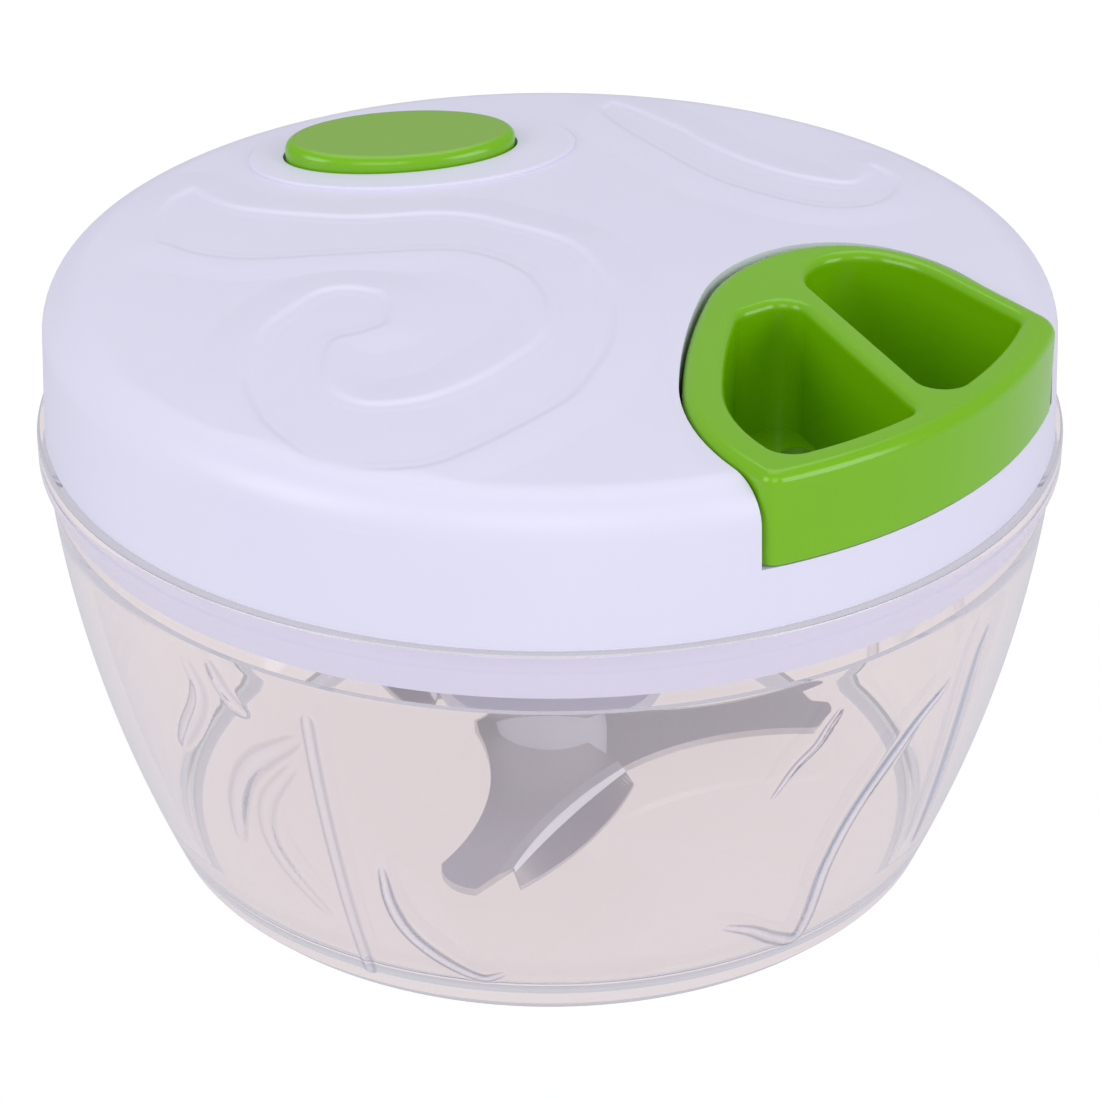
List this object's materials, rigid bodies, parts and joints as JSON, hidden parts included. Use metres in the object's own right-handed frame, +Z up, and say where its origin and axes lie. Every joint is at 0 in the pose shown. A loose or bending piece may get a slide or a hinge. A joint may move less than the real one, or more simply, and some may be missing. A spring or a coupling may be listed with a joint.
{
  "type": "pull-string food chopper",
  "caption": "Clear tapered bowl with a white push-on lid, green two-finger pull handle and push button; a recoil cord spool in the lid turns curved steel blades on a hub.",
  "frame": {"origin": "centre of the flat underside of the bowl, on the axis that the blades turn about", "axes": "+Z up; +X the way the cord and the handle leave the lid, seen from above"},
  "size_m": [0.13, 0.13, 0.0814],
  "materials": {
    "clear_plastic": "clear, polished, with a raised scroll relief on the outside",
    "white_plastic": "white, satin gloss, moulded",
    "green_plastic": "bright green, glossy, moulded",
    "hub_plastic": "off-white, satin",
    "blade_steel": "stainless, polished faces with a ground edge",
    "turned_steel": "bright",
    "spring_steel": "tempered",
    "bearing_brass": "turned",
    "acetal": "natural, slippery",
    "braided_cord": "braided",
    "brake_rubber": "soft"
  },
  "bodies": {
    "bowl": {"bowl": "clear_plastic", "pivot_pin": "turned_steel"},
    "lid": {"lid_shell": "white_plastic", "lid_base": "white_plastic", "base_screws": "turned_steel", "base_bush": "acetal", "spring_cup": "acetal", "mainspring": "spring_steel", "spool_axle": "turned_steel", "thrust_washer": "acetal", "cord_eyelet": "turned_steel", "cord_lead": "braided_cord", "button_spring": "spring_steel"},
    "spool": {"cord_spool": "acetal", "cord_winding": "braided_cord", "brake_disc": "acetal", "drive_socket": "acetal", "socket_screw": "turned_steel"},
    "handle": {"pull_handle": "green_plastic", "cord_tail": "braided_cord", "cord_ferrule": "bearing_brass"},
    "blade_unit": {"blade_hub": "hub_plastic", "hub_bush": "bearing_brass", "lower_blade": "blade_steel", "middle_blade": "blade_steel", "upper_blade": "blade_steel", "lower_spacer": "hub_plastic", "upper_spacer": "hub_plastic", "blade_nut": "hub_plastic"},
    "button": {"press_button": "green_plastic", "brake_pad": "brake_rubber", "button_clip": "turned_steel"}
  },
  "joints": [
    {"name": "lid_lift", "type": "slide", "parent": "bowl", "child": "lid", "axis": [0, 0, 1], "range_m": [0, 0.1]},
    {"name": "handle_pull", "type": "slide", "parent": "lid", "child": "handle", "axis": [0.7071, 0, 0.7071], "range_m": [0, 0.5], "stiffness_N_per_m": 6, "springref_m": -0.35},
    {"name": "spool_spin", "type": "hinge", "parent": "lid", "child": "spool", "pos_m": [0, 0, 0.07], "axis": [0, 0, 1], "range_deg": [-1964, 0]},
    {"name": "blade_spin", "type": "hinge", "parent": "bowl", "child": "blade_unit", "pos_m": [0, 0, 0.0134], "axis": [0, 0, 1], "range_deg": [-1964, 0]},
    {"name": "button_press", "type": "slide", "parent": "lid", "child": "button", "axis": [0, 0, -1], "range_m": [0, 0.002], "stiffness_N_per_m": 400, "springref_m": -0.005, "deforming": ["button_spring"]}
  ],
  "couplings": [
    {"joint": "spool_spin", "follows": "handle_pull", "rad_per_m": -68.493},
    {"joint": "blade_spin", "follows": "handle_pull", "rad_per_m": -68.493}
  ]
}
